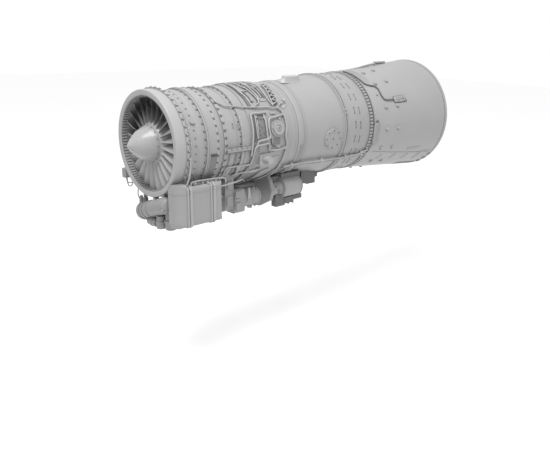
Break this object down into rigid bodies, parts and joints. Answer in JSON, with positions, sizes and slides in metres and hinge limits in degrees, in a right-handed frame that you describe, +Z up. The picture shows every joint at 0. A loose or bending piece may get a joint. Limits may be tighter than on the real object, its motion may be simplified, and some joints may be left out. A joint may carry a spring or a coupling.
{
  "type": "turbojet engine",
  "caption": "Two-spool afterburning turbojet with bladed rotors, split casings, oil tank, accessories, a flared shroud and a hinged-flap variable nozzle.",
  "frame": {"origin": "on the engine axis, in the plane of the inlet lip where the intake duct meets the engine", "axes": "+Y along the engine axis towards the exhaust, +Z up, +X towards the flank that carries the oil tank"},
  "size_m": [1.0628, 3.146, 1.1314],
  "materials": {
    "lip_alloy": "satin",
    "compressor_casing": "cast, matte",
    "burner_casing": "matte sheet",
    "hot_section": "heat tinted",
    "afterburner_wall": "matte sheet",
    "shroud_sheet": "satin",
    "flap_alloy": "heat tinted",
    "fan_alloy": "machined",
    "spinner_paint": "satin",
    "shaft_steel": "ground",
    "tank_paint": "satin",
    "strap_steel": "satin",
    "accessory_casting": "cast, matte",
    "fitting_alloy": "satin"
  },
  "bodies": {
    "engine": {"afterburner_diffuser": "afterburner_wall", "afterburner_pump": "accessory_casting", "bleed_pipe": "fitting_alloy", "bleed_valve": "fitting_alloy", "burner_case": "burner_casing", "burners": "hot_section", "exhaust_cone": "hot_section", "flame_holder": "hot_section", "flame_tube": "hot_section", "fuel_controls": "accessory_casting", "fuel_filter": "accessory_casting", "fuel_pump": "accessory_casting", "gearbox": "accessory_casting", "high_pressure_case_lower": "compressor_casing", "high_pressure_case_upper": "compressor_casing", "hinge_ring": "flap_alloy", "hoist_lug": "strap_steel", "inlet_ring": "lip_alloy", "inner_case": "burner_casing", "jack_bracket": "fitting_alloy", "jack_pipe": "fitting_alloy", "jet_pipe": "afterburner_wall", "joint_band": "afterburner_wall", "low_pressure_case": "compressor_casing", "mid_frame": "compressor_casing", "nozzle_jacks": "shaft_steel", "nozzle_shroud": "shroud_sheet", "oil_cooler": "accessory_casting", "oil_tank": "tank_paint", "port_cover": "fitting_alloy", "starter_generator": "accessory_casting", "stator_vanes": "compressor_casing", "tank_straps": "strap_steel", "top_rail": "strap_steel", "trunnions": "strap_steel", "turbine_case": "burner_casing"},
    "low_pressure_rotor": {"spinner": "spinner_paint", "fan_rotor": "fan_alloy", "low_pressure_drum": "fan_alloy", "low_pressure_shaft": "shaft_steel", "low_pressure_turbine": "shaft_steel"},
    "high_pressure_rotor": {"high_pressure_drum": "fan_alloy", "high_pressure_shaft": "shaft_steel", "high_pressure_turbine": "shaft_steel"},
    "nozzle_ring": {"control_ring": "flap_alloy", "jack_rods": "shaft_steel"},
    "lever": {"throttle_lever": "strap_steel"},
    "cap": {"filler_cap": "strap_steel"},
    "flap_01": {"nozzle_flap_01": "flap_alloy"},
    "flap_02": {"nozzle_flap_02": "flap_alloy"},
    "flap_03": {"nozzle_flap_03": "flap_alloy"},
    "flap_04": {"nozzle_flap_04": "flap_alloy"},
    "flap_05": {"nozzle_flap_05": "flap_alloy"},
    "flap_06": {"nozzle_flap_06": "flap_alloy"},
    "flap_07": {"nozzle_flap_07": "flap_alloy"},
    "flap_08": {"nozzle_flap_08": "flap_alloy"},
    "flap_09": {"nozzle_flap_09": "flap_alloy"},
    "flap_10": {"nozzle_flap_10": "flap_alloy"},
    "flap_11": {"nozzle_flap_11": "flap_alloy"},
    "flap_12": {"nozzle_flap_12": "flap_alloy"}
  },
  "joints": [
    {"name": "low_pressure_spin", "type": "hinge", "parent": "engine", "child": "low_pressure_rotor", "pos_m": [0, 0.38, 0], "axis": [0, 1, 0], "continuous": true},
    {"name": "high_pressure_spin", "type": "hinge", "parent": "engine", "child": "high_pressure_rotor", "pos_m": [0, 0.6, 0], "axis": [0, 1, 0], "continuous": true},
    {"name": "nozzle_ring_slide", "type": "slide", "parent": "engine", "child": "nozzle_ring", "axis": [0, 1, 0], "range_m": [0, 0.09]},
    {"name": "throttle_lever_turn", "type": "hinge", "parent": "engine", "child": "lever", "pos_m": [0.288, 0.69, -0.47], "axis": [1, 0, 0], "range_deg": [-50, 50]},
    {"name": "filler_cap_turn", "type": "hinge", "parent": "engine", "child": "cap", "pos_m": [0.338, 0.16, -0.247], "axis": [0, 0, 1], "range_deg": [0, 90]},
    {"name": "flap_01_hinge", "type": "hinge", "parent": "engine", "child": "flap_01", "pos_m": [0, 2.598, 0.42], "axis": [-1, 0, 0], "range_deg": [0, 14.5]},
    {"name": "flap_02_hinge", "type": "hinge", "parent": "engine", "child": "flap_02", "pos_m": [0.21, 2.598, 0.36373], "axis": [-0.866, 0, 0.5], "range_deg": [0, 14.5]},
    {"name": "flap_03_hinge", "type": "hinge", "parent": "engine", "child": "flap_03", "pos_m": [0.36373, 2.598, 0.21], "axis": [-0.5, 0, 0.866], "range_deg": [0, 14.5]},
    {"name": "flap_04_hinge", "type": "hinge", "parent": "engine", "child": "flap_04", "pos_m": [0.42, 2.598, 0], "axis": [0, 0, 1], "range_deg": [0, 14.5]},
    {"name": "flap_05_hinge", "type": "hinge", "parent": "engine", "child": "flap_05", "pos_m": [0.36373, 2.598, -0.21], "axis": [0.5, 0, 0.866], "range_deg": [0, 14.5]},
    {"name": "flap_06_hinge", "type": "hinge", "parent": "engine", "child": "flap_06", "pos_m": [0.21, 2.598, -0.36373], "axis": [0.866, 0, 0.5], "range_deg": [0, 14.5]},
    {"name": "flap_07_hinge", "type": "hinge", "parent": "engine", "child": "flap_07", "pos_m": [0, 2.598, -0.42], "axis": [1, 0, 0], "range_deg": [0, 14.5]},
    {"name": "flap_08_hinge", "type": "hinge", "parent": "engine", "child": "flap_08", "pos_m": [-0.21, 2.598, -0.36373], "axis": [0.866, 0, -0.5], "range_deg": [0, 14.5]},
    {"name": "flap_09_hinge", "type": "hinge", "parent": "engine", "child": "flap_09", "pos_m": [-0.36373, 2.598, -0.21], "axis": [0.5, 0, -0.866], "range_deg": [0, 14.5]},
    {"name": "flap_10_hinge", "type": "hinge", "parent": "engine", "child": "flap_10", "pos_m": [-0.42, 2.598, 0], "axis": [0, 0, -1], "range_deg": [0, 14.5]},
    {"name": "flap_11_hinge", "type": "hinge", "parent": "engine", "child": "flap_11", "pos_m": [-0.36373, 2.598, 0.21], "axis": [-0.5, 0, -0.866], "range_deg": [0, 14.5]},
    {"name": "flap_12_hinge", "type": "hinge", "parent": "engine", "child": "flap_12", "pos_m": [-0.21, 2.598, 0.36373], "axis": [-0.866, 0, -0.5], "range_deg": [0, 14.5]}
  ],
  "couplings": [
    {"joint": "flap_01_hinge", "follows": "nozzle_ring_slide", "rad_per_m": 2.7929},
    {"joint": "flap_02_hinge", "follows": "nozzle_ring_slide", "rad_per_m": 2.7929},
    {"joint": "flap_03_hinge", "follows": "nozzle_ring_slide", "rad_per_m": 2.7929},
    {"joint": "flap_04_hinge", "follows": "nozzle_ring_slide", "rad_per_m": 2.7929},
    {"joint": "flap_05_hinge", "follows": "nozzle_ring_slide", "rad_per_m": 2.7929},
    {"joint": "flap_06_hinge", "follows": "nozzle_ring_slide", "rad_per_m": 2.7929},
    {"joint": "flap_07_hinge", "follows": "nozzle_ring_slide", "rad_per_m": 2.7929},
    {"joint": "flap_08_hinge", "follows": "nozzle_ring_slide", "rad_per_m": 2.7929},
    {"joint": "flap_09_hinge", "follows": "nozzle_ring_slide", "rad_per_m": 2.7929},
    {"joint": "flap_10_hinge", "follows": "nozzle_ring_slide", "rad_per_m": 2.7929},
    {"joint": "flap_11_hinge", "follows": "nozzle_ring_slide", "rad_per_m": 2.7929},
    {"joint": "flap_12_hinge", "follows": "nozzle_ring_slide", "rad_per_m": 2.7929}
  ]
}
